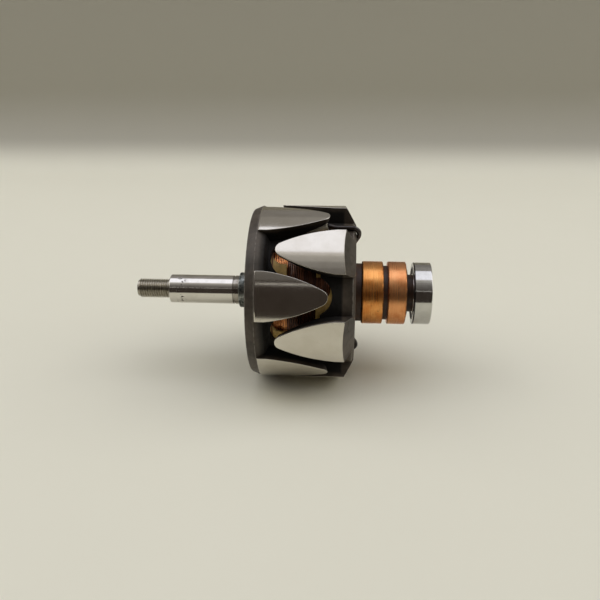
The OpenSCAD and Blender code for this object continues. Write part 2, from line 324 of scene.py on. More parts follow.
def makeLatheLines():
    # fine tool marks that run round the shaft, and slow patches
    sizes = {"fineness": 6000.0, "drift": 40.0, "patch": 60.0}
    tree, given, out = newTree("ShaderNodeTree", "latheLines", sizes, ["lines", "patches"])
    join = addNode(tree, "ShaderNodeCombineXYZ")
    for place, scale, socket in zip(splitPlace(tree), ("fineness", "drift", "drift"), join.inputs):
        tree.links.new(times(tree, place, given.outputs[scale]), socket)
    lines = addNode(tree, "ShaderNodeTexNoise", Scale=1.0, Detail=3.0, Roughness=0.6)
    tree.links.new(join.outputs[0], lines.inputs["Vector"])
    tree.links.new(lines.outputs[0], out.inputs["lines"])
    patches = noiseNode(tree, given.outputs["patch"], Detail=4.0, Roughness=0.6)
    tree.links.new(patches, out.inputs["patches"])
    return tree


def makeGrime():
    # soft stains whose amount and size are set where it is used
    sizes = {"size": 120.0, "amount": 0.4, "soft": 0.15}
    tree, given, out = newTree("ShaderNodeTree", "grime", sizes, ["mask"])
    noise = noiseNode(tree, given.outputs["size"], Detail=6.0, Roughness=0.65, Distortion=0.3)
    edge = minus(tree, 1.0, given.outputs["amount"])
    low, high = (side(tree, edge, given.outputs["soft"]) for side in (minus, plus))
    tree.links.new(rangeNode(tree, noise, low, high), out.inputs["mask"])
    return tree


def makeEdgeWear():
    # rubbed edges, from the attribute that the roundings carry
    tree, given, out = newTree("ShaderNodeTree", "edgeWear", {"size": 400.0, "amount": 0.8}, ["mask"])
    worn = addNode(tree, "ShaderNodeAttribute", attribute_name="edgeWear").outputs["Fac"]
    noise = noiseNode(tree, given.outputs["size"], Detail=4.0, Roughness=0.7)
    broken = times(tree, worn, rangeNode(tree, noise, 0.35, 0.6))
    tree.links.new(times(tree, broken, given.outputs["amount"]), out.inputs["mask"])
    return tree


shaftPlace = makeShaftPlace()
latheLines = makeLatheLines()
grime = makeGrime()
edgeWear = makeEdgeWear()
print("shader groups ready")


# finishes

def newFinish(name, **constants):
    material = bpy.data.materials.new(name)
    material.use_nodes = True
    tree = material.node_tree
    shader = tree.nodes["Principled BSDF"]
    for key, value in constants.items():
        shader.inputs[key.replace("_", " ")].default_value = value
    return material, tree, shader


def endFinish(tree, shader, colour, rough, height, strength, distance):
    bump = addNode(tree, "ShaderNodeBump", Strength=strength, Distance=distance)
    tree.links.new(height, bump.inputs["Height"])
    for given, socket in ((colour, "Base Color"), (rough, "Roughness"), (bump.outputs[0], "Normal")):
        tree.links.new(given, shader.inputs[socket])


poleFinish = {
    "turned": (0.63, 0.595, 0.53), "turnedDull": (0.55, 0.51, 0.44), "lacquer": (0.032, 0.025, 0.018),
    # the darkest colour below is painted shade for the deep valleys between the claws
    "lacquerThin": (0.095, 0.075, 0.056), "recessShade": (0.006, 0.0045, 0.003), "bare": (0.42, 0.39, 0.34),
    "turnedRoughness": (0.095, 0.165), "lacquerRoughness": (0.42, 0.6), "recessDull": 0.3,
    # where each begins and is full: depth under the turned face, distance from the middle plane
    "turnedDepth": (0.3, 0.12), "recessDepth": (0.6, 3.2), "recessReach": (20.6, 19.1),
}


def makePoleSteel():
    # turned bright on the outside of the claws, dark baked lacquer everywhere else, with painted shade turning
    # the lacquer near black deep in the valleys between the claws
    f = poleFinish
    material, tree, shader = newFinish("poleSteel", Specular_IOR_Level=0.35)
    place = useGroup(tree, shaftPlace)
    marks = useGroup(tree, latheLines, fineness=4200.0, drift=25.0, patch=55.0)
    stain = useGroup(tree, grime, size=260.0, amount=0.42, soft=0.12)["mask"]
    thin = useGroup(tree, grime, size=75.0, amount=0.5, soft=0.2)["mask"]
    worn = useGroup(tree, edgeWear, size=500.0, amount=0.35)["mask"]
    turned, under = (rangeNode(tree, place["radius"], *(poleRadius - d for d in f[depth]))
                     for depth in ("turnedDepth", "recessDepth"))
    steel = mixColour(tree, rangeNode(tree, marks["patches"], 0.35, 0.75), f["turned"], f["turnedDull"])
    off = mathNode(tree, "ABSOLUTE", minus(tree, place["along"], middleX))
    # painted shade: deep in the valleys near the middle plane the lacquer goes near black, and rougher
    recessShadeMask = times(tree, rangeNode(tree, off, *f["recessReach"]), under)
    worn = times(tree, worn, minus(tree, 1.0, recessShadeMask))
    dark = mixColour(tree, thin, f["lacquer"], f["lacquerThin"])
    dark = mixColour(tree, recessShadeMask, dark, f["recessShade"])
    dark = mixColour(tree, worn, dark, f["bare"])
    colour = mixColour(tree, turned, dark, steel)
    tree.links.new(mathNode(tree, "MAXIMUM", turned, worn), shader.inputs["Metallic"])
    gloss = rangeNode(tree, marks["lines"], 0.3, 0.7, *f["turnedRoughness"])
    matt = rangeNode(tree, stain, 0.0, 1.0, *f["lacquerRoughness"])
    matt = plus(tree, matt, times(tree, recessShadeMask, f["recessDull"]))
    rough = mixValue(tree, turned, matt, gloss)
    height = plus(tree, times(tree, marks["lines"], turned), times(tree, stain, 0.6))
    endFinish(tree, shader, colour, rough, height, strength=0.08, distance=0.00005)
    return material


shaftFinish = {
    "ground": (0.69, 0.66, 0.61), "thread": (0.40, 0.37, 0.31), "stain": (0.09, 0.065, 0.035),
    "pit": (0.05, 0.04, 0.03), "threadRough": 0.16, "pitRough": 0.4,
    # where each begins and is full: past the thread's end, short of the collar
    "pitStart": (3.5, 4.7), "pitEnd": (9.5, 8.0), "stainStart": (3.8, 3.2),
}


def makeShaftSteel(threadEnd, journalEnd):
    f = shaftFinish
    material, tree, shader = newFinish("shaftSteel", Metallic=1.0)
    along = useGroup(tree, shaftPlace)["along"]
    marks = useGroup(tree, latheLines, fineness=5200.0, drift=60.0, patch=90.0)
    stains = useGroup(tree, grime, size=190.0, amount=0.36, soft=0.14)["mask"]
    pits = useGroup(tree, grime, size=620.0, amount=0.43, soft=0.02)["mask"]
    for edge in ("pitStart", "pitEnd"):
        pits = times(tree, pits, rangeNode(tree, along, *(threadEnd + d for d in f[edge])))
    band = rangeNode(tree, along, *(journalEnd - d for d in f["stainStart"]))
    onThread = rangeNode(tree, along, threadEnd + 0.1, threadEnd - 0.1)
    dull = rangeNode(tree, marks["patches"], 0.45, 0.8, 0.0, 0.35)
    colour = mixColour(tree, dull, f["ground"], f["thread"])
    colour = mixColour(tree, onThread, colour, f["thread"])
    colour = mixColour(tree, times(tree, stains, plus(tree, band, 0.12)), colour, f["stain"])
    colour = mixColour(tree, times(tree, band, 0.55), colour, f["stain"])
    colour = mixColour(tree, pits, colour, f["pit"])
    rough = rangeNode(tree, marks["lines"], 0.3, 0.7, 0.08, 0.15)
    rough = plus(tree, rough, times(tree, onThread, f["threadRough"]))
    rough = plus(tree, rough, times(tree, pits, f["pitRough"]))
    height = minus(tree, times(tree, marks["lines"], 0.3), pits)
    endFinish(tree, shader, colour, rough, height, strength=0.3, distance=0.00008)
    return material


def makePlainMetal(name, colours, stain, stainAmount, roughness, fineness, bump=0.2, drift=40.0,
                   edge=None, shadedFace=None):
    # turned metal in two tones with lathe lines and stains; its edges are rubbed bright unless an edge colour
    # is given, which paints shade on them
    material, tree, shader = newFinish(name, Metallic=1.0)
    marks = useGroup(tree, latheLines, fineness=fineness, drift=drift, patch=110.0)
    spots = useGroup(tree, grime, size=330.0, amount=stainAmount, soft=0.12)["mask"]
    worn = useGroup(tree, edgeWear, size=600.0, amount=0.75)["mask"]
    colour = mixColour(tree, rangeNode(tree, marks["patches"], 0.35, 0.7), *colours)
    colour = mixColour(tree, rangeNode(tree, marks["lines"], 0.5, 0.8, 0.0, 0.45), colour, colours[1])
    colour = mixColour(tree, spots, colour, stain)
    # a given edge colour darkens the rounded edges as painted shade; otherwise they show rubbed metal
    colour = mixColour(tree, worn, colour, edge or colours[0])
    if shadedFace:  # x of a face darkened with painted shade, and the colour of that shade
        face, faceShade = shadedFace
        along = useGroup(tree, shaftPlace)["along"]
        colour = mixColour(tree, rangeNode(tree, along, face + 0.9, face + 0.4), colour, faceShade)
    rough = rangeNode(tree, marks["lines"], 0.3, 0.7, roughness - 0.05, roughness + 0.08)
    rough = plus(tree, rough, times(tree, spots, 0.15))
    endFinish(tree, shader, colour, rough, marks["lines"], strength=bump, distance=0.00006)
    return material


def makeWireFinish(name, bright, dark, roughness, metallic):
    # enamelled copper with browned varnish between the turns
    material, tree, shader = newFinish(name, Metallic=metallic, Coat_Roughness=0.12, Coat_Weight=0.4)
    marks = useGroup(tree, latheLines, fineness=900.0, drift=30.0, patch=160.0)
    varnish = useGroup(tree, grime, size=240.0, amount=0.45, soft=0.2)["mask"]
    colour = mixColour(tree, rangeNode(tree, marks["lines"], 0.3, 0.7), bright, dark)
    colour = mixColour(tree, times(tree, varnish, 0.5), colour, dark)
    rough = rangeNode(tree, varnish, 0.0, 1.0, roughness, roughness + 0.2)
    endFinish(tree, shader, colour, rough, varnish, strength=0.2, distance=0.00008)
    return material


def makeSoftFinish(name, colours, stain, roughness, grain, bump, soaked=None):
    # sheet, sleeving, moulding and rubber: two tones, fine grain and dirt
    material, tree, shader = newFinish(name)
    marks = useGroup(tree, latheLines, fineness=grain, drift=grain * 0.8, patch=140.0)
    dirt = useGroup(tree, grime, size=210.0, amount=0.4, soft=0.18)["mask"]
    colour = mixColour(tree, rangeNode(tree, marks["patches"], 0.3, 0.7), *colours)
    colour = mixColour(tree, times(tree, dirt, 0.7), colour, stain)
    if soaked:  # x range and colour of a band that varnish has soaked
        start, end, varnish = soaked
        along = useGroup(tree, shaftPlace)["along"]
        band = times(tree, rangeNode(tree, along, start - 0.1, start + 0.1),
                     rangeNode(tree, along, end + 0.1, end - 0.1))
        colour = mixColour(tree, band, colour, varnish)
    rough = rangeNode(tree, dirt, 0.0, 1.0, roughness, roughness + 0.2)
    endFinish(tree, shader, colour, rough, marks["lines"], strength=bump, distance=0.00015)
    return material


floorFinish = {
    # the wall colour is painted shade: the paper darkens where it rises behind the rotor
    "paper": (0.87, 0.85, 0.71), "paperShade": (0.84, 0.82, 0.68), "wall": (0.44, 0.42, 0.345),
    "wallShadeFrom": (0.0, 0.03),  # metres up
}


def makeFloorPaper():
    f = floorFinish
    material, tree, shader = newFinish("floorPaper")
    cloud = useGroup(tree, grime, size=3.0, amount=0.5, soft=0.4)["mask"]
    # painted shade: the paper turns to the dark wall colour as it rises
    wallShadeMask = rangeNode(tree, splitPlace(tree)[2], *f["wallShadeFrom"])
    paper = mixColour(tree, cloud, f["paper"], f["paperShade"])
    tree.links.new(mixColour(tree, wallShadeMask, paper, f["wall"]), shader.inputs["Base Color"])
    tree.links.new(rangeNode(tree, cloud, 0.0, 1.0, 0.62, 0.7), shader.inputs["Roughness"])
    return material


# geometry node trees

def endTree(tree, given, out, geometry):
    realize = tree.nodes.new("GeometryNodeRealizeInstances")
    finish = tree.nodes.new("GeometryNodeSetMaterial")
    linkAll(tree, (geometry, realize.inputs["Geometry"]), (realize.outputs[0], finish.inputs["Geometry"]),
            (given.outputs["finish"], finish.inputs["Material"]), (finish.outputs[0], out.inputs["Geometry"]))
    return tree


def sweepTube(tree, curve, radius, sides):
    # closed tube round a curve
    profile = tree.nodes.new("GeometryNodeCurvePrimitiveCircle")
    sweep = tree.nodes.new("GeometryNodeCurveToMesh")
    sweep.inputs["Fill Caps"].default_value = True
    linkAll(tree, (radius, profile.inputs["Radius"]), (sides, profile.inputs["Resolution"]),
            (curve, sweep.inputs["Curve"]), (profile.outputs[0], sweep.inputs["Profile Curve"]))
    return sweep.outputs[0]


def makeRoundShaft():
    # copies of one shape evenly round the shaft
    tree, given, out = newTree("GeometryNodeTree", "roundShaft", {"count": 6, "firstTurn": 0.0, "finish": None})
    points = tree.nodes.new("GeometryNodePoints")
    copies = tree.nodes.new("GeometryNodeInstanceOnPoints")
    index = tree.nodes.new("GeometryNodeInputIndex")
    turn = addNode(tree, "ShaderNodeCombineXYZ")
    step = mathNode(tree, "DIVIDE", 2 * math.pi, given.outputs["count"])
    angle = plus(tree, times(tree, index.outputs[0], step), given.outputs["firstTurn"])
    linkAll(tree, (angle, turn.inputs[0]), (turn.outputs[0], copies.inputs["Rotation"]),
            (given.outputs["count"], points.inputs["Count"]), (points.outputs[0], copies.inputs["Points"]),
            (given.outputs["Geometry"], copies.inputs["Instance"]))
    return endTree(tree, given, out, copies.outputs[0])


def makeWoundLayer():
    # one layer of wire wound round the shaft
    tree, given, out = newTree("GeometryNodeTree", "woundLayer", {
        "turns": 10.0, "radius": 0.03, "width": 0.01, "wire": 0.0004, "start": 0.0, "sides": 8,
        "pointsPerTurn": 80, "finish": None})
    spiral = tree.nodes.new("GeometryNodeCurveSpiral")
    lay = addNode(tree, "GeometryNodeTransform", Rotation=(0.0, math.pi / 2, 0.0))
    move = addNode(tree, "ShaderNodeCombineXYZ")
    for label, socket in (("turns", "Rotations"), ("radius", "Start Radius"), ("radius", "End Radius"),
                          ("width", "Height"), ("pointsPerTurn", "Resolution")):
        tree.links.new(given.outputs[label], spiral.inputs[socket])
    tube = sweepTube(tree, spiral.outputs[0], given.outputs["wire"], given.outputs["sides"])
    linkAll(tree, (tube, lay.inputs["Geometry"]), (given.outputs["start"], move.inputs[0]),
            (move.outputs[0], lay.inputs["Translation"]))
    return endTree(tree, given, out, lay.outputs[0])


def makeTubeOnPath():
    # round tube along the edges of the given path
    tree, given, out = newTree("GeometryNodeTree", "tubeOnPath", {
        "radius": 0.001, "sides": 16, "spacing": 0.0005, "finish": None})
    path = tree.nodes.new("GeometryNodeMeshToCurve")
    smooth = addNode(tree, "GeometryNodeResampleCurve", mode="LENGTH")
    linkAll(tree, (given.outputs["Geometry"], path.inputs[0]), (path.outputs[0], smooth.inputs["Curve"]),
            (given.outputs["spacing"], smooth.inputs["Length"]))
    tube = sweepTube(tree, smooth.outputs[0], given.outputs["radius"], given.outputs["sides"])
    return endTree(tree, given, out, tube)


roundShaft = makeRoundShaft()
woundLayer = makeWoundLayer()
tubeOnPath = makeTubeOnPath()
print("geometry node trees ready")


# shaft

shaftPiece = {
    "threadRadius": 5.0, "threadLength": 17.7, "threadPitch": 1.25, "threadDepth": 0.72, "rowsPerPitch": 10,
    "crestShare": 0.125, "flankShare": 0.625, "fadeTurns": 0.8, "runoutWidth": 0.9, "runoutDepth": 0.8,
    "runoutSlope": 0.1, "journalRadius": 7.5, "tipChamfer": 0.9, "tipEdge": 0.2, "runoutEdge": 0.15,
    "shoulderEdge": 0.45, "slingerWidth": 0.8, "slingerDepth": 0.35, "slingerGap": 2.3, "slingerEdge": 0.08,
    "farChamfer": 0.8, "steps": 144,
}


def makeShaft():
    s = shaftPiece
    start, end, _ = span("shaft")
    collarStart = span("drive_end_collar")[0]
    shoulder = start + s["threadLength"]
    runout = shoulder - s["runoutWidth"]
    root = s["threadRadius"] - s["runoutDepth"]
    journal = s["journalRadius"]
    groove = collarStart - s["slingerGap"] - s["slingerWidth"]
    rows = int((runout - start - s["tipChamfer"]) / s["threadPitch"] * s["rowsPerPitch"])

    def threadRadiusAt(radius, x, angle):
        if x > runout + 0.001:
            return radius, x
        phase = ((x - start) / s["threadPitch"] - angle / (2 * math.pi)) % 1
        ramp = abs(2 * phase - 1)
        cut = min(max((1 - s["crestShare"] - ramp) / s["flankShare"], 0.0), 1.0)
        fade = min(1.0, (runout - x) / (s["fadeTurns"] * s["threadPitch"]))
        return min(radius, s["threadRadius"] - s["threadDepth"] * cut * max(fade, 0.0)), x

    first = start + s["tipChamfer"]
    outline = [(0, start, 0), (s["threadRadius"] - s["tipChamfer"], start, s["tipEdge"])]
    outline += [(s["threadRadius"], first + (runout - first) * k / rows, 0) for k in range(rows + 1)]
    outline += [(root, runout + s["runoutSlope"], s["runoutEdge"]), (root, shoulder, s["runoutEdge"]),
                (journal, shoulder, s["shoulderEdge"])]
    low, grooveEnd = journal - s["slingerDepth"], groove + s["slingerWidth"]
    outline += [(radius, x, s["slingerEdge"]) for radius, x in (
        (journal, groove), (low, groove), (low, grooveEnd), (journal, grooveEnd))]
    outline += [
        (journal, driveFace, 0), (seatRadius, driveFace, 0), (seatRadius, ringFace, 0), (journal, ringFace, 0),
        (journal, end, s["farChamfer"]), (0, end, 0)]
    material = makeShaftSteel(shoulder, collarStart)
    mesh = turnedMesh("shaft", outline, s["steps"], threadRadiusAt, closed=False)
    finishedPiece("rotorShaft", [mesh], "rotor", ["shaft"], material)


makeShaft()


# collar

collarPiece = {
    "edge": 0.5, "steel": (0.17, 0.185, 0.175), "worn": (0.32, 0.33, 0.31), "stain": (0.05, 0.055, 0.05),
}


def makeCollar():
    p = collarPiece
    start, end, radius = span("drive_end_collar")
    corners = ringCorners(shaftPiece["journalRadius"], radius, start, end, p["edge"])
    material = makePlainMetal("collarSteel", (p["worn"], p["steel"]), p["stain"], stainAmount=0.5,
                              roughness=0.3, fineness=1500.0)
    turnedPiece("driveCollar", corners, "rotor", "drive_end_collar", material)


makeCollar()


# claw poles

clawPiece = {
    "count": 6, "lieTurn": 9.6, "rootWidth": 24.8, "endWidth": 7.4, "tipDiameter": 8.0, "bow": 1.3,
    "lean": 15.0, "rootAt": 16.7, "rootRow": 0.9, "discFace": 15.2, "tipThickness": 2.6, "tipPast": 1.0,
    "underRadius": 33.4, "buried": 31.0, "edge": 0.2, "across": 8, "rows": 20,
    "tipAngles": (58, 48, 38, 28, 18, 9),
    "edgeAngles": ((30, 1.0), (60, 1.0), (90, 0.0)),  # round the edge, with its wear
}
driveClaw = {
    "flat": False, "reach": 13.1, "bevelLength": 5.3, "bevelDrop": 2.2, "bevelSink": 0.05,
    "shoulderRows": (-0.9, 0.0, 0.2, 1.4),
}
ringClaw = {
    "flat": True, "reach": 12.0, "bevelLength": 5.8, "bevelDrop": 10.2, "slideReach": 4,
    "shoulderRows": (-0.25, 0.0, 0.25, 1.4), "rootRound": 6.5, "rootAngles": (12, 20, 30, 40, 50, 60, 72),
    "pastFace": 0.1, "pastSide": 0.2,
}
discPiece = {
    "rimThickness": 8.6, "rimBelow": 0.35, "rimDrop": 3.0, "rimFoot": 0.6, "webRadius": 36.5, "webEnd": 9.2,
    "valleyRound": 10.8, "valleyLip": 0.3, "boreEdge": 0.3, "faceEdge": 0.6, "rimEdge": 0.3, "backEdge": 0.5,
    "webEdge": 0.4, "grooveWidth": 2.7, "grooveDepth": 2.75, "grooveStart": 12.9, "grooveEnd": 34.1,
    "steps": 240,
}
leadTurns = (clawPiece["lieTurn"], clawPiece["lieTurn"] + 180)


def clawRows(claw):
    # x from the middle plane towards the tip, half width, and a cap on it where the root's corner is rounded
    c = clawPiece
    half, end, tip = c["rootWidth"] / 2, c["endWidth"] / 2, c["tipDiameter"] / 2
    face = ringFace - middleX
    shoulder = face - claw["bevelLength"]
    rows = []
    if claw["flat"]:
        r = claw["rootRound"]
        for a in (math.radians(d) for d in claw["rootAngles"]):
            rows.append((-face - claw["pastFace"] + r * (1 - math.cos(a)), half,
                         half + claw["pastSide"] - r * (1 - math.sin(a))))
    rows += [(x - shoulder, half, half) for x in claw["shoulderRows"]]
    rows.append((-c["rootAt"] - c["rootRow"], half, half))
    start = math.asin(end / tip)
    run = claw["reach"] - tip + tip * math.cos(start) + c["rootAt"]
    fall = half - end
    out = Vector((fall, run)).normalized() * 4 * c["bow"]
    corner = (c["rootAt"] - c["discFace"]) / (run + 0.95 * out.x)  # where the claw comes out of its disc
    for t in sorted([corner - 0.001, corner + 0.001] + [k / c["rows"] for k in range(c["rows"] + 1)]):
        rows.append((t * run - c["rootAt"] + out.x * t * (1 - t), half - t * fall + out.y * t * (1 - t), half))
    for a in (math.radians(d) for d in c["tipAngles"]):
        rows.append((claw["reach"] - tip + tip * math.cos(a), tip * math.sin(a), half))
    return rows + [(claw["reach"], 0.0, half)]


def clawPart(claw):
    # one claw pointing up, tip towards +x
    c = clawPiece
    shoulder = ringFace - middleX - claw["bevelLength"]
    slope = claw["bevelDrop"] / claw["bevelLength"]
    lean = math.tan(math.radians(c["lean"]))
    rows = clawRows(claw)
    last = len(rows) - 1
    m = c["across"]
    verts, wear, faces = [], [], []

    def slide(x, v):  # follows the curved line where the flat shoulder leaves the turned face
        if not claw["flat"]:
            return x
        weight = max(0.0, 1 - abs(x + shoulder) / claw["slideReach"])
        return x - weight * (poleRadius - math.sqrt(poleRadius ** 2 - v ** 2)) / slope

    def topAt(x, v):
        level = math.sqrt(poleRadius ** 2 - v ** 2)
        past = -shoulder - x
        if past <= 0:
            return level
        if claw["flat"]:
            return min(level, poleRadius - slope * past)
        return math.sqrt((poleRadius - slope * past - claw["bevelSink"]) ** 2 - v ** 2)

    def underAt(x, v):
        if x < -c["discFace"]:
            return math.sqrt(c["buried"] ** 2 - v ** 2)
        length = claw["reach"] + c["tipPast"] + c["discFace"]
        rise = (poleRadius - c["tipThickness"] - c["underRadius"]) / length
        return math.sqrt((c["underRadius"] + rise * (x + c["discFace"])) ** 2 - v ** 2)

    def add(x, v, w, worn=0.0):
        verts.append((x, v, w))
        wear.append(worn)
        return len(verts) - 1

    normals = []
    for k in range(last):
        before, after = rows[max(k - 1, 0)], rows[k + 1]
        along = Vector((after[0] - before[0], after[1] - before[1])).normalized()
        normals.append(Vector((-along.y, along.x)))
    normals.append(Vector((1.0, 0.0)))

    def sidePoint(k, level):  # the flanks lean in towards the shaft
        x, h, cap = rows[k]
        inset = (poleRadius - level) * lean
        return x - inset * normals[k].x, max(min(h - inset * normals[k].y, cap), 0.0)

    angles = [(math.radians(a), worn) for a, worn in c["edgeAngles"]]
    top, under, edges = [], [], {1: [], -1: []}
    for k in range(last + 1):
        nx, nv = normals[k]
        px, pv = sidePoint(k, poleRadius)
        for _ in range(4):  # the flank and its top edge settle together
            px, pv = sidePoint(k, topAt(slide(px, pv), pv))
        ux, uv = sidePoint(k, underAt(rows[k][0], pv))
        ix, iv = px - c["edge"] * nx, max(pv - c["edge"] * nv, 0.0)

        def edgePoint(side, angle):
            inset, drop = c["edge"] * (1 - math.sin(angle)), c["edge"] * (1 - math.cos(angle))
            ev = max(pv - inset * nv, 0.0)
            ex = slide(px - inset * nx, ev)
            return ex, side * ev, topAt(ex, ev) - drop

        if k == last:
            top.append([add(ix, 0.0, topAt(ix, 0.0))] * (2 * m + 1))
            under.append([add(ux, 0.0, underAt(ux, 0.0))] * (2 * m + 1))
            tipEdge = [add(*edgePoint(1, a), worn) for a, worn in angles]
            for side in (1, -1):
                edges[side].append(tipEdge)
            continue
        across = [j / m for j in range(-m, m + 1)]
        top.append([add(slide(ix, iv * j), iv * j, topAt(slide(ix, iv * j), iv * j)) for j in across])
        under.append([add(ux, uv * j, underAt(rows[k][0], uv * j)) for j in across])
        for side in (1, -1):
            edges[side].append([add(*edgePoint(side, a), worn) for a, worn in angles])

    for k in range(last):
        for j in range(2 * m):
            addFace(faces, top[k][j], top[k][j + 1], top[k + 1][j + 1], top[k + 1][j])
            addFace(faces, under[k][j], under[k + 1][j], under[k + 1][j + 1], under[k][j + 1])
        for side in (1, -1):
            rim = 2 * m if side == 1 else 0
            a = [top[k][rim], *edges[side][k], under[k][rim]]
            b = [top[k + 1][rim], *edges[side][k + 1], under[k + 1][rim]]
            for i in range(len(a) - 1):
                addFace(faces, a[i], a[i + 1], b[i + 1], b[i])
    faces.append(tuple(top[0] + edges[1][0] + under[0][::-1] + edges[-1][0][::-1]))
    return verts, faces, wear


def clawRing(name, claw, turn, material):
    verts, faces, wear = clawPart(claw)
    way = -1 if claw["flat"] else 1
    mesh = partMesh(name, [(middleX + way * x, y, z) for x, y, z in verts], faces, wear)
    return nodeMesh(mesh, roundShaft, {
        "count": clawPiece["count"], "firstTurn": math.radians(turn), "finish": material})


def valleyShape(valleyTurn, way):
    # draws the web's free end back to a round valley between two claws
    c, d = clawPiece, discPiece
    pitch = 2 * math.pi / c["count"]
    centre = c["discFace"] - d["valleyLip"] - d["valleyRound"]

    def shape(radius, x, angle):
        out = way * (x - middleX)
        if out >= c["discFace"]:
            return radius, x
        aside = (angle - math.radians(valleyTurn) + pitch / 2) % pitch - pitch / 2
        v = d["webRadius"] * math.sin(aside)
        end = max(centre + math.sqrt(max(d["valleyRound"] ** 2 - v ** 2, 0)), d["webEnd"])
        t = (c["discFace"] - out) / (c["discFace"] - d["webEnd"])
        return radius, middleX + way * (c["discFace"] - t * (c["discFace"] - end))

    return shape


def leadGrooves():
    # boxes for the slots that the leads run down in
    d = discPiece
    boxes = bmesh.new()
    size = (2 * d["grooveDepth"], d["grooveWidth"], d["grooveEnd"] - d["grooveStart"])
    for turn in leadTurns:
        place = Matrix.Rotation(math.radians(turn), 4, "X") @ Matrix.Translation(
            Vector((ringFace, 0, (d["grooveEnd"] + d["grooveStart"]) / 2)) * mm)
        bmesh.ops.create_cube(boxes, size=1.0, matrix=place @ Matrix.Diagonal((*(v * mm for v in size), 1.0)))
    mesh = bpy.data.meshes.new("grooves")
    boxes.to_mesh(mesh)
    boxes.free()
    return mesh


def makePoles():
    c, d = clawPiece, discPiece
    material = makePoleSteel()
    valleyTurn = c["lieTurn"] + 180 / c["count"]
    inner, web = c["underRadius"], d["webRadius"]
    back, webEnd = middleX - c["discFace"], middleX - d["webEnd"]
    rise = driveClaw["bevelDrop"] / driveClaw["bevelLength"]
    rim = [
        (seatRadius, driveFace, d["boreEdge"]), (poleRadius - driveClaw["bevelDrop"], driveFace, d["faceEdge"]),
        (poleRadius - d["rimBelow"], driveFace + driveClaw["bevelLength"] - d["rimBelow"] / rise, d["rimEdge"]),
        (poleRadius - d["rimDrop"], driveFace + d["rimThickness"], d["backEdge"]),
        (web, back - d["rimFoot"], d["faceEdge"]), (web, webEnd, d["webEdge"]), (inner, webEnd, 0),
        (inner, back, 0), (seatRadius, back, 0)]
    finishedPiece("driveEndPole", [
        turnedMesh("rim", rim, d["steps"], valleyShape(valleyTurn, -1)),
        clawRing("driveClaw", driveClaw, c["lieTurn"], material)],
        "rotor", ["drive_end_pole"], material)
    back, webEnd = middleX + c["discFace"], middleX + d["webEnd"]
    slope = ringClaw["bevelDrop"] / ringClaw["bevelLength"]
    foot = poleRadius - ringClaw["bevelDrop"]
    disc = [
        (seatRadius, back, 0), (inner, back, 0), (inner, webEnd, 0), (web, webEnd, d["webEdge"]),
        (web, ringFace - (web - foot) / slope, d["webEdge"]), (foot, ringFace, d["rimEdge"]),
        (seatRadius, ringFace, d["boreEdge"])]
    disc = cutMesh(turnedMesh("disc", disc, d["steps"], valleyShape(c["lieTurn"], 1)), leadGrooves())
    finishedPiece("ringEndPole", [disc, clawRing("ringClaw", ringClaw, valleyTurn, material)],
                  "rotor", ["ring_end_pole"], material)


makePoles()


# field winding

windingPiece = {
    "wire": 0.42, "pitch": 0.86, "layerStep": 0.7, "bareWidth": 7.5, "aboveCore": 1, "steps": 96,
    "bedded": 1.2,  # wire radii from a layer's top down to the solid under it
    "bright": (0.95, 0.42, 0.15), "brightDark": (0.48, 0.16, 0.045),
    # the dull colours are the same copper wire painted dark, as painted shade over the winding's far part
    "dull": (0.24, 0.08, 0.028), "dullDark": (0.03, 0.010, 0.005),
}


def makeWinding():
    w = windingPiece
    start, end, radius = span("field_winding")
    split = start + w["bareWidth"]
    bare = radius - w["layerStep"]
    # the near layer is the lit copper; the far layer and the solid under it get the darker copy as painted
    # shade
    brightFinish = makeWireFinish("wireBright", w["bright"], w["brightDark"], roughness=0.25, metallic=0.85)
    shadedWireFinish = makeWireFinish("wireShaded", w["dull"], w["dullDark"], roughness=0.3, metallic=0.6)
    layers = []
    for low, high, outer, finish in ((start, split, bare, brightFinish), (split, end, radius, shadedWireFinish)):
        width = high - low - 2 * w["wire"]
        layers.append(nodeMesh(bpy.data.meshes.new("layer"), woundLayer, {
            "turns": width / w["pitch"], "radius": (outer - w["wire"]) * mm, "width": width * mm,
            "wire": w["wire"] * mm, "start": (low + w["wire"]) * mm, "finish": finish}))
    inside = span("field_core")[2] + w["aboveCore"]
    bed = w["wire"] * w["bedded"]
    core = turnedMesh("underLayers", [
        (inside, start, 0), (bare - bed, start, 0), (bare - bed, split, 0),
        (radius - bed, split, 0), (radius - bed, end, 0), (inside, end, 0)], w["steps"])
    core.materials.append(shadedWireFinish)
    finishedPiece("fieldWinding", [core, *layers], "rotor", ["field_winding"])


makeWinding()


# leads and sleeves

leadPiece = {
    "wireRadius": 1.2, "sleeveRadius": 1.9, "sleeveLength": 10.6, "sleeveBack": 0.6, "bend": 1.6,
    # from the middle plane, and from the shaft's axis
    "path": ((-2.5, 34.2), (12.4, 38.9), (15.5, 37.8), (25.3, 37.8), (27.3, 35.8), (27.3, 33.6),
             (24.6, 29.0), (24.6, 13.0)),
    "wire": (0.03, 0.015, 0.008), "wireDark": (0.01, 0.006, 0.004),
    "cream": (0.9, 0.86, 0.72), "creamDark": (0.8, 0.74, 0.56), "creamDirt": (0.4, 0.32, 0.2),
}


